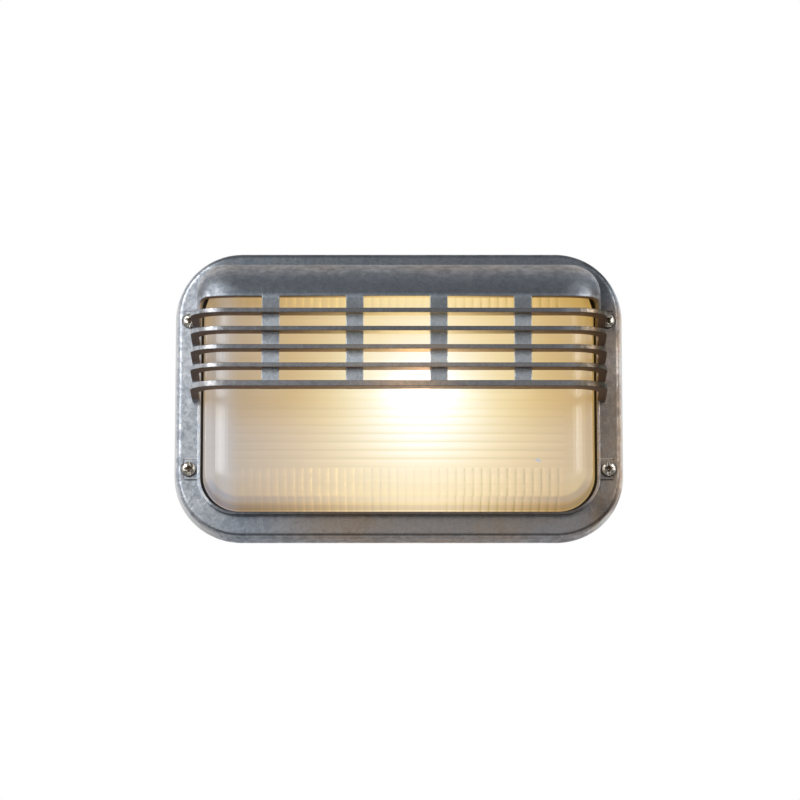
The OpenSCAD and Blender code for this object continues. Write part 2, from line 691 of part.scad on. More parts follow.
module lampholder_body() color([0.93, 0.91, 0.86]) placed() difference() {
    holder_l = holder_front_x - holder_back_x;
    waist_r = holder_r - 1.5;
    waist_from = holder_l * 0.27;
    waist_to = holder_l - 4;
    along_lamp(holder_back_x) rotate_extrude() polygon([[0, 0], [holder_r - 1, 0], [holder_r, 1],
        [holder_r, waist_from], [waist_r, waist_from + 1.5], [waist_r, waist_to],
        [holder_r, waist_to + 1], [holder_r, holder_l - 0.6], [holder_r - 0.6, holder_l],
        [0, holder_l]]);
    along_lamp(holder_floor_x) cylinder(r = shell_r, h = holder_l);
    for (s = [-1, 1]) {
        translate([0, s * holder_screw_y, 0]) along_lamp(holder_back_x - 1)
            cylinder(r = small_hole_r, h = holder_screw_l + 1);
        translate([0, s * holder_term_y, 0]) along_lamp(holder_back_x - 1)
            cylinder(r = lead_hole_r, h = 7);
    }
}

module lampholder_shell() color([0.85, 0.7, 0.35]) placed() along_lamp(shell_back_x) difference() {
    cylinder(r = shell_r, h = holder_front_x - 2 - shell_back_x);
    translate([0, 0, -1]) cylinder(r = shell_bore_r, h = cap_len + 10);
}

// Spring tongue that meets the lamp's end contact
module lampholder_contact() color([0.85, 0.7, 0.35]) placed()
    translate([holder_floor_x, 3, lamp_z]) rotate([90, 0, 0]) linear_extrude(6)
        polygon([[0, -9], [0.8, -9], [0.8, -3], [2.5, 0], [2.5, 1.5], [1.7, 1.5], [1.7, 0.3], [0, -2.7]]);

module lampholder_screws() color([0.8, 0.8, 0.82]) placed() for (s = [-1, 1])
    translate([0, s * holder_screw_y, 0]) along_lamp(holder_back_x - bracket_t) mirror([0, 0, 1])
        pan_screw(small_head_r, small_head_h, small_shank_r, holder_screw_l);

// Sealed lamp: end contact, screw cap, neck and globe in one profile
module lamp() color([1, 0.97, 0.88]) placed() along_lamp(lamp_tip_x) rotate_extrude() {
    globe_r = globe_d / 2;
    globe_z = lamp_x - lamp_tip_x;
    neck_z = neck_x - lamp_tip_x;
    start = acos(-0.78);
    globe = [for (i = [0 : 18]) let (a = start * (1 - i / 18))
        [globe_r * sin(a), globe_z + globe_r * cos(a)]];
    polygon(concat([[0, 0], [4.5, 0], [4.5, 1], [9, tip_len], [cap_r, tip_len + 1], [cap_r, neck_z]],
        globe));
}

module terminal_block() color([0.93, 0.92, 0.88]) placed() translate([block_x, block_y, pan_floor])
    difference() {
        union() {
            translate([-block_l / 2, -block_w / 2, 0]) cube([block_l, block_w, block_h * 0.6]);
            for (k = [-1 : 1]) translate([k * way_pitch - way_w / 2, -block_w / 2 + 1, 0])
                cube([way_w, block_w - 2, block_h]);
        }
        for (k = [-1 : 1], s = [-1, 1]) translate([k * way_pitch, s * clamp_y, term_z - pan_floor]) {
            rotate([-s * 90, 0, 0]) cylinder(r = lead_hole_r + 0.1, h = 8);
            cylinder(r = clamp_r, h = block_h);
        }
        translate([0, 0, -1]) cylinder(r = small_hole_r, h = block_h + 2);
        translate([0, 0, block_h - head_sink]) cylinder(r = small_head_r + 0.1, h = head_sink + 1);
    }

module terminal_clamps() color([0.85, 0.7, 0.35]) placed()
    for (k = [-1 : 1], s = [-1, 1]) translate([block_x + k * way_pitch, block_y + s * clamp_y, term_z])
        difference() {
            cylinder(r = clamp_r, h = pan_floor + block_h - term_z - 1);
            translate([-3, -0.4, pan_floor + block_h - term_z - 2]) cube([6, 0.8, 2]);
            translate([0, 0, lead_d / 2]) rotate([-s * 90, 0, 0]) cylinder(r = lead_d / 2 + 0.1, h = 8);
        }

module terminal_fixing_screw() color([0.8, 0.8, 0.82]) placed()
    translate([block_x, block_y, pan_floor + block_h - head_sink])
        pan_screw(small_head_r, small_head_h, small_shank_r, block_h - 1);

module earth_screw() color([0.85, 0.7, 0.35]) placed()
    translate([earth_x, earth_y, pan_floor + earth_washer_t])
        pan_screw(3.6, 2.2, shank_r, earth_washer_t + pan_t + pan_lift);

// Toothed washer under the earth screw, with the wire's ring tag on it
module earth_washer() color([0.8, 0.8, 0.82]) placed() translate([earth_x, earth_y, pan_floor])
    difference() {
        union() {
            cylinder(r = 4, h = earth_washer_t);
            for (a = [0 : 45 : 315]) rotate([0, 0, a]) translate([0, -0.5, 0]) cube([4.6, 1, 0.6]);
        }
        translate([0, 0, -1]) cylinder(r = shank_hole_r + 0.1, h = earth_washer_t + 2);
    }

// Smooth route through the hand-set points, and the ring of points round each of its stops
function spline(p, i, t) = let (a = p[max(i - 1, 0)], b = p[i], c = p[i + 1], d = p[min(i + 2, len(p) - 1)])
    0.5 * (2 * b + (c - a) * t + (2 * a - 5 * b + 4 * c - d) * t * t + (3 * b - a - 3 * c + d) * t * t * t);
function route(p) = concat([p[0]],
    [for (i = [0 : len(p) - 2], s = [1 : lead_steps]) spline(p, i, s / lead_steps)]);
function unit(v) = v / norm(v);
function wire_ring(c, along) = let (side = unit(cross(along, [0.21, 0.13, 0.97])), up = cross(side, along))
    [for (k = [0 : lead_sides - 1]) let (a = 360 * k / lead_sides)
        c + lead_d / 2 * (cos(a) * side + sin(a) * up)];

module wire(points) {
    path = route(points);
    last = len(path) - 1;
    rings = [for (i = [0 : last]) wire_ring(path[i], unit(path[min(i + 1, last)] - path[max(i - 1, 0)]))];
    n = lead_sides;
    polyhedron([for (ring = rings, p = ring) p], concat(
        [[for (j = [n - 1 : -1 : 0]) j]],
        [[for (j = [0 : n - 1]) last * n + j]],
        [for (i = [0 : last - 1], j = [0 : n - 1], t = [0, 1])
            let (a = i * n + j, b = i * n + (j + 1) % n, c = b + n, d = a + n)
            t == 0 ? [a, b, c] : [a, c, d]]));
}

module live_lead() color([0.45, 0.22, 0.1]) placed() wire(live_route);
module neutral_lead() color([0.1, 0.25, 0.7]) placed() wire(neutral_route);
module earth_lead() color([0.4, 0.6, 0.15]) placed() wire(earth_route);

front_casting();
prismatic_glass();
glass_gasket();
glass_clips();
glass_clip_screws();
front_screw_upper_left();
front_screw_upper_right();
front_screw_lower_left();
front_screw_lower_right();
front_screw_washers();
body_gasket();
back_box();
cable_grommet();
fixing_hole_seals();
reflector_pan();
pan_screws();
holder_bracket();
bracket_screws();
lampholder_body();
lampholder_shell();
lampholder_contact();
lampholder_screws();
lamp();
terminal_block();
terminal_clamps();
terminal_fixing_screw();
earth_screw();
earth_washer();
live_lead();
neutral_lead();
earth_lead();
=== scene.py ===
# %% [markdown]
# # An outdoor wall light, switched on
# The solids of the light come from its CAD model: a raw cast aluminium front with a half visor,
# a pressed prismatic glass, a back box, and the lamp and wiring inside. They stay as they are.
# This lesson gives each of them the finish of the real piece, makes the four front screws anew
# with tapered cross recesses and threads, and then lights and frames the light.

# %% Load the light
import bpy
import math
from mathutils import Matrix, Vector


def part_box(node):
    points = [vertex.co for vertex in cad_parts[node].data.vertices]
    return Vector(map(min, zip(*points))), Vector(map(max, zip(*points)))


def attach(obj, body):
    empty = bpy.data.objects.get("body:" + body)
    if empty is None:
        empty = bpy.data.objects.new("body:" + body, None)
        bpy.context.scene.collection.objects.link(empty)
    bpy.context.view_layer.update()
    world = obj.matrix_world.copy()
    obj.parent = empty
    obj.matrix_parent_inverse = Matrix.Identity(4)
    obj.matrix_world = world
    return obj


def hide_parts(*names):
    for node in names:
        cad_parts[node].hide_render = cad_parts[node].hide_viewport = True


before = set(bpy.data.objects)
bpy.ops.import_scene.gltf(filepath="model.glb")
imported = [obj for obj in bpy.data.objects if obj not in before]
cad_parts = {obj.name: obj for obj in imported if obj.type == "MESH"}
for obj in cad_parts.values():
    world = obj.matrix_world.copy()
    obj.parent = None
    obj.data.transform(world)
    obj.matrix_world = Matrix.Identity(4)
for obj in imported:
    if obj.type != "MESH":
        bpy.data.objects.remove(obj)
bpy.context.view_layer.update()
mm = 0.001
print("nodes in the model:", len(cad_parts))

# %% [markdown]
# ## The camera
# The light is seen from the front and 12.5 degrees below, from far away, so its sides hardly
# converge. A long lens at 2.7 m gives that. The camera aims at the middle of the front face, and
# a very small lens shift puts that point where the photograph has it.

# %% Camera
aim = Vector((0, -50 * mm, 0))
below = math.radians(12.5)
distance = 2.7
lens = bpy.data.cameras.new("camera")
lens.sensor_width = 36
lens.lens = 218
lens.shift_x, lens.shift_y = 0.0015, -0.0065
lens.clip_end = 30
camera = bpy.data.objects.new("camera", lens)
camera.location = aim + distance * Vector((0, -math.cos(below), -math.sin(below)))
camera.rotation_mode = "QUATERNION"
camera.rotation_quaternion = (aim - camera.location).to_track_quat("-Z", "Y")
bpy.context.scene.collection.objects.link(camera)
bpy.context.scene.camera = camera
print("camera stands at", [round(v, 3) for v in camera.location])

# %% [markdown]
# ## Helpers for node trees
# Every finish here is made from nodes, so a few small helpers keep the cells short. `add` makes a
# node and sets its values, `start_group` starts a node group with named sockets, `place_group`
# places one, and `start_material` hands back a new material with its Principled shader. A socket
# knows the tree that it belongs to, so `plug` and most other helpers need no more than sockets.

# %% Node helpers: nodes, groups and materials
def tree_of(*values):
    return next(value.id_data for value in values if isinstance(value, bpy.types.NodeSocket))


def plug(socket, value):
    if isinstance(value, bpy.types.NodeSocket):
        socket.id_data.links.new(value, socket)
    else:
        socket.default_value = (*value, 1) if socket.type == "RGBA" else value


def plug_named(sockets, values):
    for name, value in values.items():
        plug(sockets[name.replace("_", " ")], value)


def add(tree, kind, settings=None, **values):
    node = tree.nodes.new(kind)
    for name, value in (settings or {}).items():
        setattr(node, name, value)
    plug_named(node.inputs, values)
    return node


def start_group(name, inputs, outputs):
    tree = bpy.data.node_groups.new(name, "ShaderNodeTree")
    for socket, kind, value in inputs:
        made = tree.interface.new_socket(socket, in_out="INPUT", socket_type="NodeSocket" + kind)
        made.default_value = (*value, 1) if kind == "Color" else value
    for socket, kind in outputs:
        tree.interface.new_socket(socket, in_out="OUTPUT", socket_type="NodeSocket" + kind)
    return tree, tree.nodes.new("NodeGroupInput").outputs, tree.nodes.new("NodeGroupOutput").inputs


def place_group(tree, group, **values):
    return add(tree, "ShaderNodeGroup", {"node_tree": group}, **values).outputs


def start_material(name):
    material = bpy.data.materials.new(name)
    material.use_nodes = True
    tree = material.node_tree
    return material, tree, tree.nodes["Principled BSDF"]


def finish_nodes(material, *nodes):
    for node in nodes:
        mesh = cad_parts[node].data
        mesh.materials.clear()
        mesh.materials.append(material)
    print(material.name, "on", ", ".join(nodes))


print("helpers for nodes ready")

# %% [markdown]
# A finish is mostly sums of masks. `level` and `bell` are the two curves that make a mask from a
# size: a soft step between two sizes, and a bell-shaped bump round one. `times` narrows one mask
# by another, `blend` goes from one value to another as a mask grows, and `tinted` multiplies a
# colour where a mask says so. `sizes_in` gives the object's own x, y and z in millimetres.

# %% Node helpers: sums, masks and colours
def maths(operation, *values):
    node = add(tree_of(*values), "ShaderNodeMath", {"operation": operation})
    for socket, value in zip(node.inputs, values):
        plug(socket, value)
    return node.outputs[0]


def chain(operation, first, *others):
    for value in others:
        first = maths(operation, first, value)
    return first


def plus(*values):
    return chain("ADD", *values)


def minus(first, second):
    return maths("SUBTRACT", first, second)


def times(*values):
    return chain("MULTIPLY", *values)


def rest(share):
    return minus(1.0, share)


def blend(share, first, second):
    return add(tree_of(share), "ShaderNodeMapRange", Value=share, To_Min=first, To_Max=second).outputs[0]


def level(value, start, end, to_start=0.0, to_end=1.0):
    node = add(tree_of(value), "ShaderNodeMapRange", {"interpolation_type": "SMOOTHSTEP"}, Value=value,
               From_Min=start, From_Max=end, To_Min=to_start, To_Max=to_end)
    return node.outputs[0]


def bell(value, middle, width):
    step = maths("DIVIDE", minus(value, middle), width)
    return maths("EXPONENT", times(step, step, -1.0))


def mix_colour(share, first, second, way="MIX"):
    node = add(tree_of(share, first, second), "ShaderNodeMix", {"data_type": "RGBA", "blend_type": way})
    for index, value in ((0, share), (6, first), (7, second)):
        plug(node.inputs[index], value)
    return node.outputs[2]


def tinted(colour, share, tint):
    return mix_colour(share, colour, tint, "MULTIPLY")


def scaled(vector, factor):
    node = add(tree_of(vector), "ShaderNodeVectorMath", {"operation": "SCALE"}, Vector=vector, Scale=factor)
    return node.outputs[0]


def axes_of(vector):
    return add(tree_of(vector), "ShaderNodeSeparateXYZ", Vector=vector).outputs


def place_in(tree):
    return add(tree, "ShaderNodeTexCoord").outputs["Object"]


def sizes_in(tree):
    return axes_of(scaled(place_in(tree), 1 / mm))


def noise(where, scale, detail=4, roughness=0.6, distortion=0.0):
    return add(tree_of(where), "ShaderNodeTexNoise", Vector=where, Scale=scale, Detail=detail,
               Roughness=roughness, Distortion=distortion).outputs["Fac"]


def bumps(height, strength, depth, **normal):
    return add(tree_of(height), "ShaderNodeBump", Strength=strength, Distance=depth * mm, Height=height,
               **normal).outputs[0]


print("helpers for masks ready")

# %% [markdown]
# ## A shared effect: cast skin
# Raw cast aluminium is never one grey. It carries soft clouds where the metal met the mould,
# darker flow marks, small rubbed spots and a grain of fine pits. One group makes these from noise,
# whose scale is in patches to the metre, so that each casting can have its own strength of them.
# `Stain share` says how far the handled, brownish tone takes over, and `Grain` how rough the sand
# skin is.

# %% Group: cast skin
skin, given, result = start_group(
    "cast skin",
    [("Light metal", "Color", (0.56, 0.59, 0.64)), ("Dark metal", "Color", (0.3, 0.33, 0.38)),
     ("Stain", "Color", (0.4, 0.33, 0.26)), ("Stain share", "Float", 0.3),
     ("Mottle", "Float", 0.5), ("Grain", "Float", 1.0)],
    [("Colour", "Color"), ("Roughness", "Float"), ("Height", "Float")])
where, mottle = place_in(skin), given["Mottle"]
clouds = noise(where, 46, 4, 0.6, 0.8)
patches = noise(where, 240, 5, 0.68, 0.5)
pits = noise(where, 1000, 3, 0.7)
flow_marks = noise(where, 30, 5, 0.62, 0.5)
scratches = noise(where, 620, 2, 0.5, 2.5)
patchy = level(patches, 0.36, 0.64)
dark_share = times(plus(times(level(clouds, 0.34, 0.66), 0.4), times(patchy, 0.6)), mottle)
base = mix_colour(dark_share, given["Light metal"], given["Dark metal"])
stained = times(plus(times(level(flow_marks, 0.36, 0.64), 0.5), 0.5), given["Stain share"])
base = mix_colour(stained, base, given["Stain"])
rubbed = (0.8, 0.82, 0.86)
base = mix_colour(times(level(pits, 0.55, 0.7), mottle, 0.4), base, rubbed)
base = tinted(base, times(level(scratches, 0.6, 0.7), mottle, 0.5), (0.45, 0.45, 0.47))
base = tinted(base, times(patchy, mottle, 0.6), (0.62, 0.62, 0.64))
plug(result["Colour"], base)
plug(result["Roughness"], plus(level(patches, 0.3, 0.72, 0.33, 0.46), times(dark_share, 0.08)))
plug(result["Height"], times(given["Grain"], plus(times(pits, 0.4), patches)))
print("group made:", skin.name)

# %% [markdown]
# ## Front casting
# The front is one aluminium casting, left unpainted. It is bluish on the hood and the top, and goes
# brown along the bottom and down the right side, where rain and hands reach it. Painted light from
# the left makes it pale down the left side. The straps are the palest, with a dusty skin. Sizes in
# millimetres say where each part and tone lies, and the soft steps between them keep the metal in
# one piece.

# %% Finish: raw cast aluminium, parts and tones
cast, tree, shader = start_material("raw cast aluminium")
x, y, z = sizes_in(tree)
aside = maths("ABSOLUTE", x)
visor = level(y, -55, -58)
flat = rest(visor)
hood = times(visor, level(z, 47, 50))
below_hood = level(z, 48.5, 46.5)
ribs = times(visor, below_hood)
rib_fronts = times(level(y, -88.2, -89.2), below_hood)
straps = times(level(y, -89, -87.9), level(y, -80, -84), level(z, 48, 46))
right_side = times(level(x, 100, 110), level(z, 58, 42))
low_band = times(level(z, -56, -68), level(x, -90, -20), level(x, 40, 80, 1.0, 0.55))
rubbed_hood = times(hood, level(z, 58, 68, 0, 0.6))
low_visor = times(visor, level(z, 46, 40, 0, 0.35))
brown = chain("MAXIMUM", low_band, right_side, rubbed_hood, low_visor)
brown = times(brown, blend(straps, 1.0, 0.3))
bluish, pale, dusty = (0.55, 0.59, 0.66), (0.88, 0.89, 0.93), (0.88, 0.94, 1.0)
# painted light: the face is pale down the left side, as if lit from the left
tone = mix_colour(level(x, -84, -112), bluish, pale)
tone = mix_colour(times(straps, 0.85), tone, dusty)
print("tones of the casting:", bluish, pale, dusty)

# %% [markdown]
# Some parts are plainly darker or lighter than their neighbours. Each of these is one factor, and
# all the factors multiply the colour, so most of them are painted light and shade. On the visor,
# the hood is darker towards its lower half and has painted highlights at its ends. The straps carry
# the hood's painted shade at the top, are darker in the third gap between the ribs, and have the
# lamp's painted light below that. The upper ribs are darker than the lower ones, their ends have
# painted highlights on the way round the corners, and painted shade makes the outer sides of the
# legs on the right almost brown-black.

# %% Finish: raw cast aluminium, darker and lighter parts of the visor
def part_of(share, factor):
    return blend(share, 1.0, factor)


# darker towards the hood's lower half, with painted highlights at its ends
hood_fade = plus(level(z, 48, 60, 0.4, 0.82), times(bell(z, 68, 3), -0.15),
                 level(aside, 90, 102, 0, 0.26))
# painted shade of the hood on the tops of the straps
hood_shade_on_straps = times(straps, level(z, 38, 42))
third_gap_of_straps = times(straps, bell(z, 23.5, 3))
lit_straps = times(straps, bell(z, 11, 6), bell(x, 4, 40))
# painted highlights where the ribs bend round at their ends; their left tips are darker
left_bend_highlights = times(rib_fronts, bell(x, -102, 3.5))
left_ends = times(rib_fronts, level(x, -104, -108))
right_bend_highlights = times(rib_fronts, level(x, 88, 96))
right_legs = times(ribs, level(x, 98, 102))
# painted shade on the outer sides of the right legs
shaded_right_sides = times(ribs, level(x, 107, 109))
shades = times(
    part_of(hood, hood_fade), part_of(hood_shade_on_straps, 0.52), part_of(third_gap_of_straps, 0.78),
    part_of(lit_straps, 1.45), part_of(rib_fronts, level(z, 6, 26, 0.72, 0.54)),
    part_of(left_bend_highlights, level(z, -2, 46, 1.2, 2.2)), part_of(left_ends, 0.85),
    part_of(right_bend_highlights, level(z, -4, 40, 1.15, 1.8)), part_of(right_legs, level(z, 5, 25, 0.72, 1.1)),
    part_of(shaded_right_sides, 0.45))
print("shades on the visor: 10")

# %% [markdown]
# On the face round it, the band above the hood is darker, and a painted shadow of the hood lies
# beside it on the right. Low down the face is darker, most of all in the right corner, and the upper
# right corner is a little darker too. Half-way up the right side the metal is lighter, and painted
# light brightens the wall of the rim, though not at the top. A painted shadow line runs along the
# lower edge of each lower screw's seat, and the seat's upper wall has painted light. The lip round
# the window has painted highlights at its sides and is darker along the bottom.

# %% Finish: raw cast aluminium, darker and lighter parts of the face
top_band = times(flat, level(z, 72, 75), level(x, -116, -96))
# painted shadow of the hood on the face beside it, on the right
hood_shadow_beside = times(flat, level(x, 100, 108), level(x, 120, 115, 0.4), level(z, 30, 46))
low_face = times(flat, level(z, -60, -70))
low_right = times(flat, level(x, 105, 112), bell(z, -65, 7))
high_right = times(flat, level(x, 108, 112), bell(z, 65, 7))
right_middle = times(flat, level(x, 110, 115), bell(z, 17, 10))
# painted light on the wall of the rim, turning darker at the top
lit_rim_wall = times(flat, level(y, -48.6, -47.4))
seats = times(flat, level(aside, 111, 112), level(aside, 119.5, 118.5))
# painted shadow line under each lower seat, and painted light on its upper wall
seat_shadow_line = times(seats, bell(z, -48.3, 0.5))
lit_seat_wall = times(seats, bell(z, -36.6, 0.5))
lip = bell(y, -53, 0.6)
# painted highlights on the sides of the lip; darker along its bottom
lit_side_lips = times(lip, level(aside, 104, 107))
low_lip = times(lip, level(z, -61, -66))
shades = times(
    shades, part_of(top_band, 0.55), part_of(hood_shadow_beside, 0.42), part_of(low_face, 0.92),
    part_of(low_right, 0.62), part_of(high_right, 0.82), part_of(right_middle, 1.32),
    part_of(lit_rim_wall, level(z, 50, 70, 1.55, 0.7)), part_of(seat_shadow_line, 0.15), part_of(lit_seat_wall, 2.2),
    part_of(lit_side_lips, level(z, -72, -60, 1.0, 1.8)), part_of(low_lip, 0.5))
print("shades on the face: 11")

# %% [markdown]
# The solid has sharp rib edges, but cast ones are soft. The Bevel node bends the normals near each
# edge: widely on the hood, where it also melts the facets of the loft together, less on the ribs,
# and hardly at all on the rest of the front. The bent normal also tells where on a rounded edge a
# point lies. So it places painted shade and light on the rim: a dark shadow line low on it, painted
# light under that, painted shade on the turn of its sides and a painted highlight on their outer
# wall, and painted shade on the wall under the lip.

# %% Finish: raw cast aluminium, edges
edge = plus(0.35, times(visor, 0.3), times(hood, 1.9))
soft_edges = add(tree, "ShaderNodeBevel", {"samples": 10}, Radius=times(edge, mm)).outputs[0]
facing = axes_of(soft_edges)
outward, upward = maths("ABSOLUTE", facing["X"]), facing["Z"]
rim = times(flat, level(y, -50.4, -50.05))
# painted shade and light on the rim, placed by where the bent normal points
rim_shadow_line = times(rim, level(upward, -0.1, -0.3), level(upward, -0.62, -0.42), level(x, -114, -98))
lit_under_rim = times(rim, level(upward, -0.5, -0.65), level(upward, -0.96, -0.84))
rim_turn_shade = times(rim, bell(outward, 0.36, 0.16), level(aside, 118, 121))
rim_side_highlight = times(rim, level(outward, 0.5, 0.68))
lip_wall = times(flat, level(upward, -0.4, -0.8), level(y, -50.1, -50.6))
shades = times(
    shades, part_of(rim_shadow_line, 0.52), part_of(lit_under_rim, 1.6), part_of(rim_turn_shade, 0.66),
    part_of(rim_side_highlight, level(x, -80, 80, 1.25, 1.9)), part_of(lip_wall, 0.5))
print("shades on the edges: 5")

# %% [markdown]
# The lamp's light is painted on the fronts of the ribs near it, most on the last one, and the right
# ends of the ribs are browner. Where the bent normal looks down, under the ribs, the metal is dark
# brown: soot left by years of lamp heat, and painted shade. Straight above the lamp that soot has
# the lamp's orange light painted on it.

# %% Finish: raw cast aluminium, painted lamp light, soot and shade
look = place_group(
    tree, skin, Light_metal=tone, Dark_metal=(0.3, 0.34, 0.4), Stain=(0.56, 0.44, 0.345),
    Stain_share=brown, Mottle=plus(0.7, times(straps, -0.15), times(right_side, 0.5)), Grain=1.0)
last_rib = level(z, 5, 2)
lamp_tint = mix_colour(last_rib, (1.75, 1.5, 1.25), (2.7, 1.95, 1.35))
# painted lamp light on the fronts of the ribs near it
lamp_light_on_ribs = times(rib_fronts, level(z, 27, 21), blend(last_rib, bell(x, 6, 38), bell(x, 4, 22)))
metal = tinted(scaled(look["Colour"], shades), lamp_light_on_ribs, lamp_tint)
metal = tinted(metal, times(ribs, level(x, 92, 103)), (0.76, 0.64, 0.48))
# under the ribs: soot and painted shade; above the lamp, painted lamp light on it
soot_and_shade = times(visor, level(upward, -0.3, -0.8))
hot = times(bell(x, 8, 46), level(z, 2, 27, 0.13, 1.0))
shaded_soot = (0.23, 0.165, 0.135)
lamp_lit_soot = mix_colour(level(z, 14, 27), (0.82, 0.5, 0.17), (0.95, 0.77, 0.44))
metal = mix_colour(soot_and_shade, metal, mix_colour(hot, shaded_soot, lamp_lit_soot))
matt_soot = times(soot_and_shade, plus(0.2, times(hot, -0.25)))
plug_named(shader.inputs, {
    "Base Color": metal, "Metallic": 0.95, "Roughness": plus(look["Roughness"], matt_soot),
    "Normal": bumps(look["Height"], 0.5, 0.3, Normal=soft_edges)})
finish_nodes(cast, "front_casting")

# %% [markdown]
# ## Back box
# The box behind is cast from the same metal, but nobody handles it, so it keeps an even grey with
# a coarser sand skin. It takes the same group with more grain and almost no stain.

# %% Finish: box aluminium
box_metal, tree, shader = start_material("box aluminium")
look = place_group(tree, skin, Light_metal=(0.47, 0.48, 0.5), Dark_metal=(0.36, 0.37, 0.39),
                   Stain_share=0.12, Mottle=0.28, Grain=1.8)
soft_edges = add(tree, "ShaderNodeBevel", {"samples": 6}, Radius=0.5 * mm).outputs[0]
plug_named(shader.inputs, {
    "Base Color": look["Colour"], "Metallic": 0.9, "Roughness": look["Roughness"],
    "Normal": bumps(look["Height"], 0.5, 0.3, Normal=soft_edges)})
finish_nodes(box_metal, "back_box")

# %% [markdown]
# ## Lamp light in the glass
# Pressed prismatic glass hides the lamp: the prisms inside spread its light until the whole glass
# glows, white-hot in front of the globe and amber far from it. Tracing that light through
# so many prisms would be slow and noisy, so this group writes the spread light down instead.
# Each colour is a sum of an even part, a wide bell across the glass and a hot core. Red is the
# widest and blue the narrowest, which is what makes the far glass amber. The very heart is several
# times brighter than white, so that it lights the undersides of the ribs as the real lamp does.

# %% Group: lamp light
glow, given, result = start_group(
    "lamp light", [("Lamp place", "Float", 0.0), ("Lamp height", "Float", 0.0)], [("Colour", "Color")])
where = place_in(glow)
x, y, z = sizes_in(glow)
aside, outer = maths("ABSOLUTE", x), maths("ABSOLUTE", z)
across = minus(x, given["Lamp place"])
drop = minus(z, given["Lamp height"])
core_height = bell(drop, 0, 32.5)


def spread(even, slope, wide, wide_reach, hot, hot_reach):
    broad = times(bell(across, 0, wide_reach), wide)
    core = times(bell(across, 0, hot_reach), hot, core_height)
    return plus(even, times(x, slope * mm), broad, core)


def colour_of(red, green, blue):
    return add(glow, "ShaderNodeCombineColor", Red=red, Green=green, Blue=blue).outputs[0]


light = colour_of(spread(0.322, 0.18, 0.575, 84.8, 0.193, 44.2),
                  spread(0.232, 0.04, 0.447, 71.4, 0.391, 39.2),
                  spread(0.08, -0.22, 0.229, 60.6, 0.692, 32.0))
heart = times(bell(across, 0, 13.5), bell(drop, 2, 7.5))
light = mix_colour(heart, light, (3.4, 2.3, 1.3), "ADD")
print("lamp light starts from 3 colours")

# %% [markdown]
# Each prism is bright on the face that looks at the lamp and fades over its other face, with a
# thin dark groove between it and the next. So the pattern is a saw-tooth with a dark line. The
# level prisms fill the middle and show most low down. The upright ones stand in a row above and
# below, their rows run on down the side wall of the glass, and their slope turns round at the
# lamp. They show most on the right, and on the left their grooves shine a little yellow instead.

# %% Group: lamp light, prisms
def saw(value, groove_at, pitch):
    turn = maths("FRACT", maths("DIVIDE", minus(value, groove_at), pitch))
    from_groove = minus(0.5, maths("ABSOLUTE", minus(turn, 0.5)))
    return turn, level(from_groove, 0.24, 0.05)


def prism(bright, groove, groove_depth, strength):
    return times(plus(times(bright, 1.7), -0.5, times(groove, groove_depth, -1.0)), strength)


def stretched(scale):
    return add(glow, "ShaderNodeMapping", Vector=where, Scale=scale).outputs[0]


pitch, deep_groove, shining_groove = 4.7, 1.2, -1.1
upright = level(outer, 44.6, 45.6)
wall = level(y, -64.4, -63.4)
right = level(across, -20, 20)

turn, groove = saw(plus(z, times(noise(where, 22, 2), 0.6)), 2.6, pitch)
strength = times(level(z, 4, -34, 0.2, 1), blend(bell(across, 0, 60), 0.045, 0.09),
                 level(aside, 94, 90), level(z, -43, -41, 0.25, 1))
level_shade = times(prism(turn, groove, deep_groove, strength), rest(upright))

lean = times(x, wall, 0.012)
turn, groove = saw(plus(x, lean), 1.35 + pitch / 2, pitch)
uneven = level(noise(stretched((190, 1, 190)), 1.0, 2), 0.32, 0.68, 0.55, 1.45)
calm = blend(bell(across, 0, 27), 1.0, 0.35)
strength = plus(times(level(x, -96, 60, 0.035, 0.13), level(aside, 93, 88)),
                times(bell(x, -50, 22), 0.06))
groove_depth = level(x, -28, -12, shining_groove, deep_groove)
upright_shade = times(prism(blend(right, turn, rest(turn)), groove, groove_depth,
                            times(strength, calm, uneven)), upright)

plain = plus(1.0, level_shade, upright_shade)
blue_too = plus(1.0, times(level_shade, 2.4), times(upright_shade, blend(right, 0.7, 2.0)))
light = tinted(light, 1.0, colour_of(plain, plain, blue_too))
print("prism pitch:", pitch, "mm")

# %% [markdown]
# The last touches are what makes it this glass. Long fine streaks were drawn in as it was pressed.
# Its side wall is darker, most of all far from the lamp, and bluish where it is deepest. The glass
# is dim behind the rib legs on the left, lighter low on the right, and warmer in the third gap
# between the ribs. Cool daylight falls in at the left end. One small grey chip lies low on the
# right.

# %% Group: lamp light, streaks, side wall, ends and chip
light = scaled(light, level(noise(stretched((9, 9, 420)), 1.0, 3, 0.6), 0.3, 0.7, 0.972, 1.02))
far_wall = mix_colour(right, (0.72, 0.71, 0.82), (0.67, 0.62, 0.64))
wall_tint = mix_colour(bell(across, 0, 62), far_wall, (1.0, 1.0, 1.1))
end_tint = mix_colour(right, (1.12, 1.12, 1.2), (0.93, 0.91, 0.9))
wall_tint = mix_colour(level(outer, 56, 47), wall_tint, end_tint)
deep_wall = level(y, -59.5, -57)
left_legs = times(level(x, -94, -98), bell(z, 18, 16))
low_right = times(level(x, 90, 98), level(z, -44, -50))
third_gap = times(bell(z, 30, 4.5), bell(across, 0, 60))
for share, tint in ((wall, wall_tint), (deep_wall, (0.82, 0.84, 0.98)), (left_legs, (0.78, 0.77, 0.77)),
                    (low_right, (1.06, 1.13, 1.3)), (third_gap, (0.98, 0.94, 0.83))):
    light = tinted(light, share, tint)
left_end = plus(bell(x, -96, 6), times(level(x, -100, -104), level(z, 0, -14)))
light = mix_colour(left_end, light, (0.02, 0.055, 0.105), "ADD")
chip_x = maths("DIVIDE", minus(x, 77), 1.5)
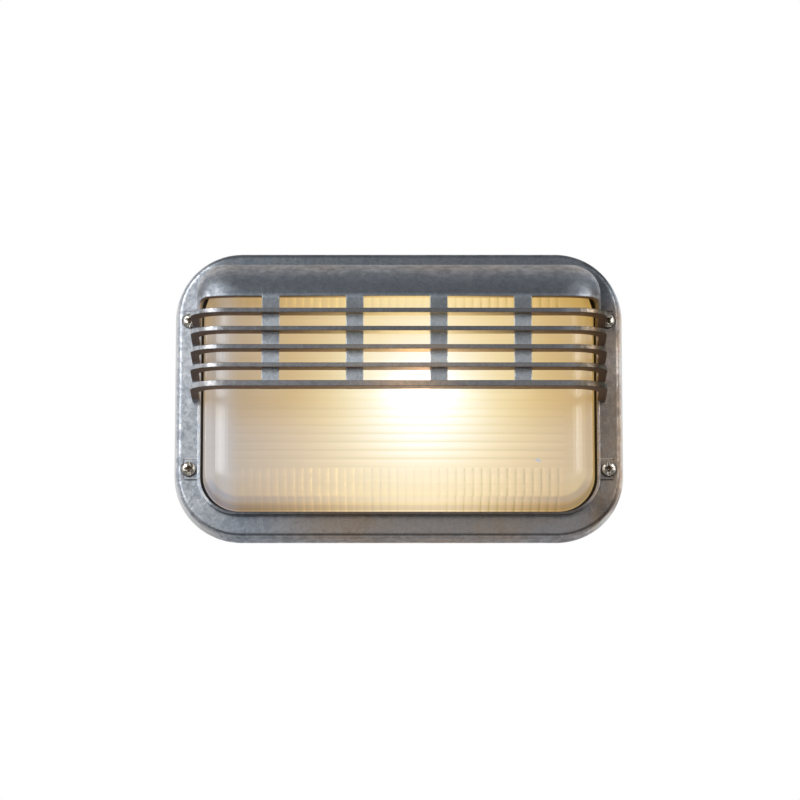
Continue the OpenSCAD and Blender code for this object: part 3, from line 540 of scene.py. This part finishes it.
chip_z = maths("DIVIDE", minus(z, -40.8), 0.9)
from_chip = plus(times(chip_x, chip_x), times(chip_z, chip_z), times(chip_x, chip_z))
chip_grey = (0.42, 0.4, 0.42)
light = mix_colour(level(from_chip, 1.3, 0.5, 0, 0.8), light, chip_grey)
plug(result["Colour"], light)
print("group made:", glow.name)

# %% [markdown]
# ## Glass
# The outside of the glass is smooth and softly glossy, so the studio's softboxes draw long streaks
# on its rounded margin. The group gives the colour of the light that leaves it, once it is told
# where the lamp is. The body colour is a dim blue, because the prisms also send back some of the
# cool daylight that falls in.

# %% Finish: prismatic glass
glass, tree, shader = start_material("prismatic glass")
where = place_in(tree)
plug_named(shader.inputs, {
    "Base Color": mix_colour(noise(where, 60, 3), (0.11, 0.215, 0.345), (0.13, 0.24, 0.38)),
    "Emission Color": place_group(tree, glow, Lamp_place=12.7, Lamp_height=-3.3)["Colour"],
    "Emission Strength": 1.0, "IOR": 1.68,
    "Roughness": level(noise(where, 35, 3), 0.3, 0.7, 0.19, 0.25),
    "Normal": bumps(noise(where, 70, 2), 0.12, 0.1)})
finish_nodes(glass, "prismatic_glass")

# %% [markdown]
# ## Lamp
# The lamp is a small opal globe on a screw cap. The globe glows evenly, and at its neck the cap
# takes over in nickel-plated brass.

# %% Finish: lamp
lamp, tree, shader = start_material("opal lamp")
globe = level(sizes_in(tree)["X"], -16, -12)
plug_named(shader.inputs, {
    "Base Color": mix_colour(globe, (0.7, 0.66, 0.58), (0.95, 0.93, 0.88)), "Metallic": rest(globe),
    "Emission Color": mix_colour(globe, (0, 0, 0), (1.0, 0.82, 0.55)), "Emission Strength": 3.0,
    "Roughness": 0.3})
finish_nodes(lamp, "lamp")

# %% [markdown]
# ## A shared effect: surface life
# Small bought-in parts have calmer finishes than castings, but none is one flat colour. This
# group moves between two close colours in soft patches, varies the gloss with them, and gives a
# fine height for a bump. `Size` is how many patches fit in a metre. `lively` makes a whole
# material from it.

# %% Group: surface life
life, given, result = start_group(
    "surface life",
    [("First", "Color", (0.8, 0.8, 0.8)), ("Second", "Color", (0.6, 0.6, 0.6)),
     ("Size", "Float", 200.0), ("Smoothest", "Float", 0.25), ("Roughest", "Float", 0.45)],
    [("Colour", "Color"), ("Roughness", "Float"), ("Height", "Float")])
where = place_in(life)
soft = noise(where, given["Size"], 4, 0.55)
fine = noise(where, times(given["Size"], 9.0), 2, 0.5)
share = level(plus(times(soft, 0.75), times(fine, 0.25)), 0.38, 0.62)
plug(result["Colour"], mix_colour(share, given["First"], given["Second"]))
plug(result["Roughness"], blend(share, given["Smoothest"], given["Roughest"]))
plug(result["Height"], fine)
print("group made:", life.name)


def lively(name, first, second, size, gloss, metallic, bump=0.2):
    material, tree, shader = start_material(name)
    look = place_group(tree, life, First=first, Second=second, Size=size, Smoothest=gloss[0],
                       Roughest=gloss[1])
    plug_named(shader.inputs, {
        "Base Color": look["Colour"], "Metallic": metallic, "Roughness": look["Roughness"],
        "Normal": bumps(look["Height"], bump, 0.1)})
    return material

# %% [markdown]
# ## Rubber, plated steel, enamel, ceramic, nylon and brass
# Each bought-in finish takes the group with its own colours: rubber is nearly black and dusty,
# zinc plating shows its blotchy spangle, enamel and ceramic are smooth, nylon is slightly
# yellowed, and brass has darker handled patches.

# %% Finishes of the small parts
rubber = lively("black rubber", (0.018, 0.018, 0.019), (0.05, 0.048, 0.046), 260, (0.55, 0.8), 0, 0.4)
finish_nodes(rubber, "glass_gasket", "front_screw_washers", "body_gasket", "cable_grommet",
             "fixing_hole_seals")
zinc = lively("zinc plated steel", (0.74, 0.76, 0.8), (0.58, 0.6, 0.62), 420, (0.28, 0.45), 1)
finish_nodes(zinc, "glass_clips", "glass_clip_screws", "pan_screws", "holder_bracket",
             "bracket_screws", "lampholder_screws", "terminal_fixing_screw", "earth_washer")
enamel = lively("white enamel", (0.9, 0.88, 0.84), (0.84, 0.82, 0.77), 90, (0.18, 0.3), 0, 0.1)
finish_nodes(enamel, "reflector_pan")
ceramic = lively("holder ceramic", (0.92, 0.9, 0.85), (0.85, 0.82, 0.76), 120, (0.15, 0.35), 0, 0.1)
finish_nodes(ceramic, "lampholder_body")
nylon = lively("block nylon", (0.88, 0.87, 0.8), (0.8, 0.78, 0.7), 300, (0.4, 0.55), 0)
finish_nodes(nylon, "terminal_block")
brass = lively("contact brass", (0.8, 0.62, 0.3), (0.62, 0.45, 0.2), 350, (0.25, 0.45), 1)
finish_nodes(brass, "lampholder_shell", "lampholder_contact", "terminal_clamps", "earth_screw")

# %% [markdown]
# ## Wires
# The inner wires are coloured by their job. The earth wire is green with a yellow stripe that
# winds round it, and bands that run slantwise through space draw much the same on so thin a wire.

# %% Finishes of the wires
brown_wire = lively("brown wire", (0.3, 0.14, 0.07), (0.24, 0.11, 0.05), 500, (0.35, 0.5), 0)
finish_nodes(brown_wire, "live_lead")
blue_wire = lively("blue wire", (0.05, 0.18, 0.6), (0.04, 0.14, 0.5), 500, (0.35, 0.5), 0)
finish_nodes(blue_wire, "neutral_lead")
earth_wire, tree, shader = start_material("green yellow wire")
green, yellow = (0.06, 0.38, 0.08), (0.8, 0.72, 0.06)
bands = add(tree, "ShaderNodeTexWave", {"bands_direction": "DIAGONAL"}, Vector=place_in(tree),
            Scale=60, Distortion=0.5).outputs["Fac"]
plug_named(shader.inputs, {
    "Base Color": mix_colour(level(bands, 0.45, 0.55), green, yellow),
    "Roughness": level(noise(place_in(tree), 500), 0.3, 0.7, 0.35, 0.5)})
finish_nodes(earth_wire, "earth_lead")

# %% [markdown]
# ## Front screws
# Each front screw is an M4 pan head that takes either driver: a cross recess whose wings taper to
# a dark middle, and one straight slot right across. At this size that is what the eye finds. Two
# short functions give the form, in millimetres: the height of the head, which is its dome less
# the recess and slot, and the radius of the shank, which follows a screw thread.

# %% Shape of a screw: head and thread
head_r, head_h, shank_r, shank_l = 4.0, 2.5, 1.95, 18.0
dome_h = head_h * 0.55
recess_deep, slot_floor = 1.8, 1.2
wing_taper, wing_side, slot_side = (0.9, 3.1), (0.5, 0.8), (0.6, 0.85)
thread_pitch, thread_deep = 0.7, 0.38
plain_neck, plain_tip, point_share = 2.0, 0.4, 0.7


def soft_fall(value, start, end):
    t = min(max((value - start) / (end - start), 0), 1)
    return 1 - t * t * (3 - 2 * t)


def wing(along, off):
    return recess_deep * soft_fall(along, *wing_taper) * soft_fall(off, *wing_side)


def head_height(r, angle):
    u, v = abs(r * math.cos(angle)), abs(r * math.sin(angle))
    dome = dome_h * math.sqrt(max(0, 1 - (r / head_r) ** 2))
    top = head_h - dome_h + dome - max(wing(u, v), wing(v, u))
    return top + (min(top, slot_floor) - top) * soft_fall(u, *slot_side)


def shank_radius(depth, angle):
    if depth >= shank_l:
        return shank_r * point_share
    if not plain_neck < depth < shank_l - plain_tip:
        return shank_r
    wave = abs((-depth / thread_pitch - angle / (2 * math.pi)) % 1 - 0.5) * 2
    return shank_r - thread_deep * wave


print("thread turns on a screw:", round(shank_l / thread_pitch))

# %% [markdown]
# The mesh is a stack of rings of points: the rings of the head from its middle outwards, one ring
# at the foot of the head, one where the shank starts, and the rings of the shank down to its end.
# Four-sided faces join each ring to the next, and one last face closes the end.

# %% Shape of a screw: mesh
around, head_rings, shank_rings = 132, 60, 126


def screw_mesh(turn):
    def ring(radius_at, height_at):
        for k in range(around):
            a = 2 * math.pi * k / around
            r = radius_at(a)
            points.append((r * math.cos(a + turn) * mm, r * math.sin(a + turn) * mm, height_at(a) * mm))

    points = []
    for i in range(head_rings + 1):
        r = head_r * (i / head_rings) ** 0.8
        ring(lambda a: r, lambda a: head_height(r, a))
    ring(lambda a: head_r, lambda a: 0)
    ring(lambda a: shank_r, lambda a: 0)
    for i in range(1, shank_rings + 1):
        depth = shank_l * i / shank_rings
        ring(lambda a: shank_radius(depth, a), lambda a: -depth)
    last = len(points) - around
    faces = [(start + k, start + around + k, start + around + (k + 1) % around, start + (k + 1) % around)
             for start in range(0, last, around) for k in range(around)]
    faces.append(tuple(reversed(range(last, len(points)))))
    mesh = bpy.data.meshes.new("front screw")
    mesh.from_pydata(points, [], faces)
    mesh.validate()
    mesh.update()
    for face in mesh.polygons:
        face.use_smooth = True
    return mesh


print("faces on a screw:", (head_rings + 2 + shank_rings) * around + 1)

# %% [markdown]
# The screw steel is bright where a driver and fingers rub it, and dark with old dirt down in the
# recess. Height in the screw's own frame tells the two apart. The screws then take the places of
# the CAD ones, each turned as its driver left it.

# %% Finish: screw steel, and the four screws
screw_steel, tree, shader = start_material("bright screw steel")
look = place_group(tree, life, First=(0.86, 0.82, 0.76), Second=(0.62, 0.56, 0.48), Size=500,
                   Smoothest=0.13, Roughest=0.27)
x, y, z = sizes_in(tree)
off_axis = maths("SQRT", plus(times(x, x), times(y, y)))
dirt = times(level(z, 1.25, 0.9), level(off_axis, 3.3, 2.8))
plug_named(shader.inputs, {
    "Base Color": mix_colour(dirt, look["Colour"], (0.14, 0.09, 0.06)), "Metallic": 1.0,
    "Roughness": plus(look["Roughness"], times(dirt, 0.3))})
for name, turn in (("upper_left", -14), ("upper_right", 38), ("lower_left", 5), ("lower_right", 3)):
    low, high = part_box("front_screw_" + name)
    screw = bpy.data.objects.new("cross_head_screw_" + name, screw_mesh(math.radians(turn)))
    screw.data.materials.append(screw_steel)
    screw.location = ((low[0] + high[0]) / 2, low[1] + head_h * mm, (low[2] + high[2]) / 2)
    screw.rotation_euler = (math.radians(90), 0, 0)
    bpy.context.scene.collection.objects.link(screw)
    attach(screw, "root")
    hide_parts("front_screw_" + name)
    print(screw.name, "at", [round(v / mm, 1) for v in screw.location])

# %% [markdown]
# ## Studio
# The light hangs in a white studio, with a pale floor far below it. The floor glows a little for
# the camera alone, so it looks pale in views from above while its glow lights nothing.

# %% Floor
floor_z, floor_reach, floor_glow = -2.4, 6, 0.45
corners = [(sx * floor_reach, sy * floor_reach, floor_z) for sx, sy in ((-1, -1), (1, -1), (1, 1), (-1, 1))]
floor_mesh = bpy.data.meshes.new("floor")
floor_mesh.from_pydata(corners, [], [(0, 1, 2, 3)])
floor = bpy.data.objects.new("floor", floor_mesh)
bpy.context.scene.collection.objects.link(floor)
floor_finish, tree, shader = start_material("pale floor")
shown = add(tree, "ShaderNodeLightPath").outputs["Is Camera Ray"]
plug_named(shader.inputs, {
    "Base Color": (0.8, 0.8, 0.8), "Roughness": 0.9, "Emission Color": (1, 1, 1),
    "Emission Strength": times(shown, floor_glow)})
floor_mesh.materials.append(floor_finish)
print("floor at", floor_z, "m")

# %% [markdown]
# The world is white for the camera and through glass. In the metal's reflections it is a plain
# studio: grey in front, darker below the camera, paler at both sides and white straight behind
# the light. Everything else gets a low, even fill.

# %% World
fill = 0.3
world = bpy.data.worlds.new("studio")
bpy.context.scene.world = world
world.use_nodes = True
tree = world.node_tree
path = add(tree, "ShaderNodeLightPath").outputs
x, y, z = axes_of(add(tree, "ShaderNodeTexCoord").outputs["Generated"])
front = plus(0.15, level(z, 0.45, 0.95, 0, 0.06), level(z, -0.12, -0.4, 0, -0.08))
behind = level(y, -0.1, 0.7, 0, 0.5)
straight_behind = level(y, 0.93, 1.0)
sides = level(maths("ABSOLUTE", x), 0.72, 0.96, 0, 0.36)
mirrored = plus(maths("MAXIMUM", plus(front, behind), straight_behind), sides)
seen = maths("MAXIMUM", path["Is Camera Ray"], path["Is Transmission Ray"])
plug_named(tree.nodes["Background"].inputs, {
    "Color": (1, 1, 1), "Strength": maths("MAXIMUM", seen, blend(path["Is Glossy Ray"], fill, mirrored))})
print("world ready")

# %% [markdown]
# A softbox close on the left, with a dimmer one beside it, gives the cool, bright left side and
# the streak on the glass that fades towards the middle. On the right a dim one fills the metal,
# and a thin strip beside it draws the fine streak there. They stand near, so their light falls off
# across the front, and they are hidden from the camera itself.

# %% Softboxes
def softbox(name, place, width, height, watts, colour):
    light = bpy.data.lights.new(name, "AREA")
    light.shape = "RECTANGLE"
    light.size, light.size_y = width, height
    light.energy = watts
    light.color = colour
    holder = bpy.data.objects.new(name, light)
    holder.location = place
    holder.visible_camera = False
    holder.rotation_mode = "QUATERNION"
    holder.rotation_quaternion = (aim - Vector(place)).to_track_quat("-Z", "Y")
    bpy.context.scene.collection.objects.link(holder)
    print(name, "gives", watts, "W")


softbox("left softbox", (-0.575, -0.695, 0.3), 0.33, 0.62, 2.7, (0.93, 0.97, 1.0))
softbox("left inner softbox", (-0.43, -0.93, 0.3), 0.36, 0.7, 1.1, (0.93, 0.98, 1.0))
softbox("right softbox", (0.64, -0.74, 0.3), 0.5, 0.6, 1.5, (1.0, 0.96, 0.9))
softbox("right strip", (0.6, -0.68, 0.3), 0.045, 0.5, 0.8, (0.9, 0.96, 1.0))

# %% [markdown]
# ## View transform
# The view transform stays plain, so that colours look as they are written.

# %% View transform
bpy.context.scene.view_settings.view_transform = "Standard"
